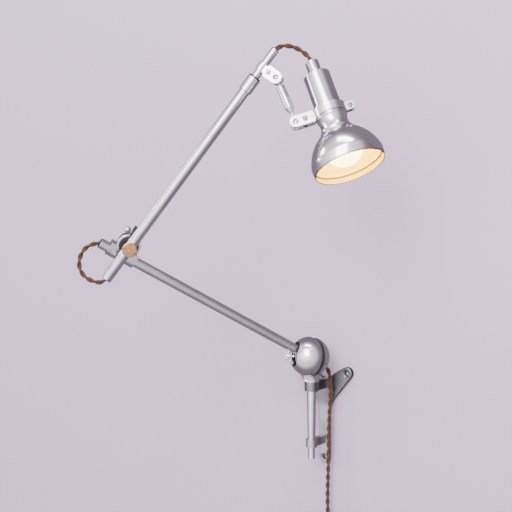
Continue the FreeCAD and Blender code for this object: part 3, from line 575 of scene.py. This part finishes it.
def bell_with_painted_light(name):
    graph = Graph(name)
    here = graph.place(LAMP, LAMP_UP)
    height = graph.axes(here)[2]
    rings = graph.noise(graph.place(LAMP, LAMP_UP, (0.03, 0.03, 1)), 700.0, 3.0)
    cloud = graph.noise(here, 45.0, 5.0)
    stain = cloud.band(0.46, 0.74)
    tint = graph.mix(stain, colour(0.80, 0.775, 0.80), colour(0.62, 0.595, 0.62))
    rim = 1 - height.band(*RIM_EDGE)
    normal = graph.add("ShaderNodeTexCoord", output=1)
    turn = LAMP_UP.to_track_quat("Z", "Y").inverted().to_matrix().to_euler()
    normal = graph.add("ShaderNodeMapping", {}, [normal, (0, 0, 0), tuple(turn), (1, 1, 1)])
    outward = graph.add(
        "ShaderNodeVectorMath", {"operation": "DOT_PRODUCT"},
        [normal, graph.add("ShaderNodeVectorMath", {"operation": "MULTIPLY"}, [here, (1, 1, 0)])],
        output=1,
    )
    inside = (1 - outward.band(-0.004, 0.002)) * (1 - rim)
    # Painted light: the inside is painted straw yellow for the glow of the bulb's warm light.
    tint = graph.mix(inside, tint, colour(0.98, 0.76, 0.20))
    # Painted shade: a dark line painted along the ledge inside the mouth.
    ledge_shade_line = height.band(*LEDGE_FOOT) * (1 - height.band(*LEDGE_TOP))
    tint = graph.mix(ledge_shade_line * inside * 0.9, tint, colour(0.16, 0.07, 0.03))
    tint = graph.mix(rim * 0.85, tint, colour(0.07, 0.055, 0.05))
    roughness = rings * 0.08 + cloud * 0.14 + rim * 0.2 + inside * 0.35 + 0.05
    return graph.shade(
        Base_Color=tint, Metallic=1 - inside * 0.8, Roughness=roughness.clamp(),
        Normal=graph.bump(rings * 0.6 + cloud * 0.4, 0.06, 0.0002),
    )


def bulb_finish(name):
    graph = Graph(name)
    here = graph.place(LAMP, LAMP_UP)
    frost = graph.noise(here, 90.0, 4.0)
    tint = graph.mix(frost, colour(1.0, 0.76, 0.28), colour(1.0, 0.82, 0.38))
    graph.shader.inputs["Emission Strength"].default_value = GLOW_STRENGTH
    return graph.shade(
        Base_Color=colour(1.0, 0.93, 0.82), Roughness=(frost * 0.2 + 0.3).clamp(),
        Emission_Color=tint,
    )


# %% [markdown]
# ## Dressing the pieces
# Each finish is made once for each axis that its pieces share. Every CAD piece gets its
# finish by name. What isn't named is flex: inside the tubes, or hidden by the twisted flex.

# %% Finishes
# Above this share of its height the bracket is painted darker: patina and painted shadow.
ARMS_SHARE = 0.62
lowest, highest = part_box("wall_bracket")
ARMS_START = lowest[2] + ARMS_SHARE * (highest[2] - lowest[2])
TUBE_LOW = polished("tube_lower_polish", BALL, ARM_WAY, rough=0.22)
TUBE_HIGH = polished("tube_upper_polish", UPPER_FOOT, UPPER_WAY)
LINK_SHINE = polished("rod_polish", ROD_TOP, ROD_WAY, along=False, rough=0.10)
HOLDER_SHINE = polished("holder_polish", LAMP, LAMP_UP, along=False, rough=0.10)
HOUSING_SHINE = polished("housing_polish", BALL, POLE, along=False, rough=0.12, haze=0.14)
ELBOW_SHINE = polished("elbow_polish", PIVOT, PIVOT_WAY, along=False, rough=0.14)
LOCK_SHINE = polished("lock_polish", LOCK, LOCK_WAY, along=False, rough=0.12)
PIN_SHINE = polished("pin_polish", PIN, UP, along=False, rough=0.16, haze=0.16)
BALL_GREY = polished("ball_grey", BALL, ARM_WAY, along=False, base=(0.50, 0.48, 0.52), rough=0.30)
CHEEK_SHINE = cast("cheek_polish", rough=0.17, base=(0.80, 0.785, 0.81))
BRACKET = cast("bracket_casting", rough=0.30, base=(0.48, 0.47, 0.50), holes=HOLES, arms=ARMS_START)
CLAMP = cast("clamp_casting", rough=0.20)
STEEL = polished("screw_steel", LAMP, LAMP_UP, base=(0.36, 0.345, 0.37), rough=0.24)
NYLON = moulded("black_nylon", (0.028, 0.025, 0.030), 0.42)
RUBBER = moulded("dark_rubber", (0.035, 0.030, 0.032), 0.62, grain=1100.0)
PLUG = moulded("plug_brown", (0.045, 0.022, 0.014), 0.34, wear=0.4)
PORCELAIN = moulded("glazed_white", (0.80, 0.78, 0.73), 0.22, grain=200.0, wear=0.1)
SHELL_BRASS = moulded("shell_brass", (0.70, 0.52, 0.22), 0.30, metallic=1.0)
COPPER = tarnished("copper_disc", PIVOT, PIVOT_WAY)
BRAID = braid("cotton_braid")
BELL = bell_with_painted_light("bell_polish_painted_light")
GLOW = bulb_finish("bulb_glow")

FINISH = {
    "wall_bracket": BRACKET, "swivel_spindle": PIN_SHINE, "rear_cup": HOUSING_SHINE,
    "front_dome": HOUSING_SHINE, "friction_ring": NYLON, "dome_retainer": STEEL,
    "ball_seat": NYLON, "cord_grommet": RUBBER, "lock_screw": LOCK_SHINE,
    "joint_ball": BALL_GREY, "lower_tube": TUBE_LOW, "lower_tube_bush": RUBBER,
    "elbow_clamp": CLAMP, "pivot_washer": ELBOW_SHINE, "pivot_bolt": COPPER,
    "tube_saddle": NYLON, "wing_nut": ELBOW_SHINE, "upper_tube": TUBE_HIGH,
    "upper_tube_bush": RUBBER, "tube_collar": TUBE_HIGH, "collar_bush": NYLON,
    "inner_tube": TUBE_HIGH, "inner_tube_bush": RUBBER, "top_strap": CHEEK_SHINE,
    "top_screw": STEEL, "ball_rod": LINK_SHINE, "band_front": CHEEK_SHINE,
    "band_rear": CHEEK_SHINE, "band_screws": STEEL, "holder_cap": HOLDER_SHINE,
    "holder_body": HOLDER_SHINE, "holder_insulator": PORCELAIN, "holder_shell": SHELL_BRASS,
    "cap_grip": RUBBER, "shade_ring": HOLDER_SHINE, "shade": BELL, "bulb_glass": GLOW,
    "bulb_cap": STEEL, "coil_tie": NYLON, "plug_body": PLUG, "plug_pins": STEEL,
}
INNER_FLEX = moulded("inner_braid", (0.22, 0.10, 0.05), 0.8)
for name, node in nodes.items():
    finish = FINISH.get(name, INNER_FLEX)
    if node.data.materials:
        for number in range(len(node.data.materials)):
            node.data.materials[number] = finish
    else:
        node.data.materials.append(finish)
for piece in (elbow_flex, near_flex, far_flex, mains_flex):
    piece.data.materials.append(BRAID)
print(len(FINISH), "CAD pieces dressed")

# %% [markdown]
# ## Wall and floor
# The wall is a pale lilac, painted near black behind each screw hole of the bracket as
# painted shade. Its back face lets light and sight through, so the lamp can be seen from
# behind, and neither it nor the floor shows in the polish.

# %% Wall and floor


def backdrop(name, size, place, turn, base, holes=()):
    bpy.ops.object.select_all(action="DESELECT")
    bpy.ops.mesh.primitive_plane_add(size=size, location=place, rotation=turn)
    sheet = bpy.context.object
    sheet.name = name
    graph = Graph(name + "_paint")
    paint = graph.noise(graph.place(), 3.0, 3.0)
    tint = graph.mix(paint * 0.15, colour(*base), colour(*(part * 0.9 for part in base)))
    # Painted shade: a near black disc on the wall behind each screw hole.
    for hole in holes:
        away = graph.place(hole).math_vector("LENGTH")
        tint = graph.mix(1 - away.band(0.0042, 0.0052), tint, colour(0.02, 0.015, 0.02))
    graph.shade(Base_Color=tint, Roughness=0.85)
    sheet.data.materials.append(graph.material)
    sheet.visible_glossy = False
    return graph


wall = backdrop("wall", 7.0, (0, 0.0006, 0.3), (math.radians(90), 0, 0), (0.74, 0.58, 0.80), HOLES)
see_through = wall.add("ShaderNodeBsdfTransparent")
facing = wall.add("ShaderNodeNewGeometry", output=6)
both = wall.add("ShaderNodeMixShader", {}, [facing, None, see_through])
wall.tree.links.new(wall.shader.outputs[0], both.socket.node.inputs[1])
wall.tree.links.new(both.socket, wall.tree.nodes["Material Output"].inputs["Surface"])
backdrop("floor", 7.0, (0, 0, -1.1), (0, 0, 0), (0.72, 0.68, 0.72))
print("wall and floor set")

# %% [markdown]
# ## Lights
# Three large soft boxes give the polish its whitest bands: one in front, one at the left and
# one above. A small warm one tints the wall at the right, as the bulb's light does.

# %% Lights


def softbox(name, place, target, size, power, tint=(1, 1, 1)):
    data = bpy.data.lights.new(name, "AREA")
    data.shape, data.size, data.size_y = "RECTANGLE", size[0], size[1]
    data.energy, data.color = power, tint
    box = bpy.data.objects.new(name, data)
    box.location = place
    box.rotation_euler = (Vector(target) - Vector(place)).to_track_quat("-Z", "Y").to_euler()
    scene.collection.objects.link(box)
    return box


softbox("key", (0.48, -2.17, 1.38), (0, -0.25, 0.42), (1.2, 1.7), 56)
softbox("left", (-2.3, -1.2, 1.2), (0, -0.2, 0.25), (0.5, 1.6), 26)
softbox("top", (0.1, -0.8, 2.3), (0, -0.2, 0.3), (1.2, 0.5), 20)
warm = softbox("warm", (0.62, -0.30, 0.36), (0.36, 0.0, 0.31), (0.25, 0.25), 0.9, (1.0, 0.50, 0.40))
warm.visible_glossy = False
print("lights:", ", ".join(light.name for light in bpy.data.lights))

# %% [markdown]
# ## The room that the polish mirrors
# Polished metal looks like what stands round it. Here that is a room that is bright straight
# out from the wall and dims towards the sides and the wall, so a round piece is pale in the
# middle and darker at its edges. A ramp over the direction gives it, and mirrored rays see it
# brighter, because a real window is far brighter than the light it throws.

# %% The room
WINDOW_SIDE = Vector((0.10, -0.96, 0.22))
MIRROR_BOOST = 1.4
ROOM_TONES = (
    (0.0, (0.13, 0.105, 0.135)),
    (0.20, (0.20, 0.172, 0.205)),
    (0.42, (0.50, 0.46, 0.51)),
    (0.78, (0.75, 0.70, 0.77)),
    (1.0, (1.7, 1.62, 1.72)),
)

world = bpy.data.worlds.new("studio")
scene.world = world
world.use_nodes = True
room = world.node_tree.nodes
wires = world.node_tree.links
way = room.new("ShaderNodeTexCoord")
lean = room.new("ShaderNodeVectorMath")
lean.operation = "DOT_PRODUCT"
lean.inputs[1].default_value = WINDOW_SIDE.normalized()
tone = room.new("ShaderNodeValToRGB")
ray = room.new("ShaderNodeLightPath")
level = room.new("ShaderNodeMath")
level.operation = "MULTIPLY_ADD"
level.inputs[1].default_value, level.inputs[2].default_value = MIRROR_BOOST, 1.0
stops = tone.color_ramp.elements
for stop, (position, tint) in zip(stops, (ROOM_TONES[0], ROOM_TONES[-1])):
    stop.position, stop.color = position, colour(*tint)
for position, tint in ROOM_TONES[1:-1]:
    stops.new(position).color = colour(*tint)
wires.new(way.outputs["Generated"], lean.inputs[0])
wires.new(lean.outputs["Value"], tone.inputs["Fac"])
wires.new(ray.outputs["Is Glossy Ray"], level.inputs[0])
wires.new(tone.outputs["Color"], room["Background"].inputs["Color"])
wires.new(level.outputs["Value"], room["Background"].inputs["Strength"])
print("room of", len(ROOM_TONES), "tones")
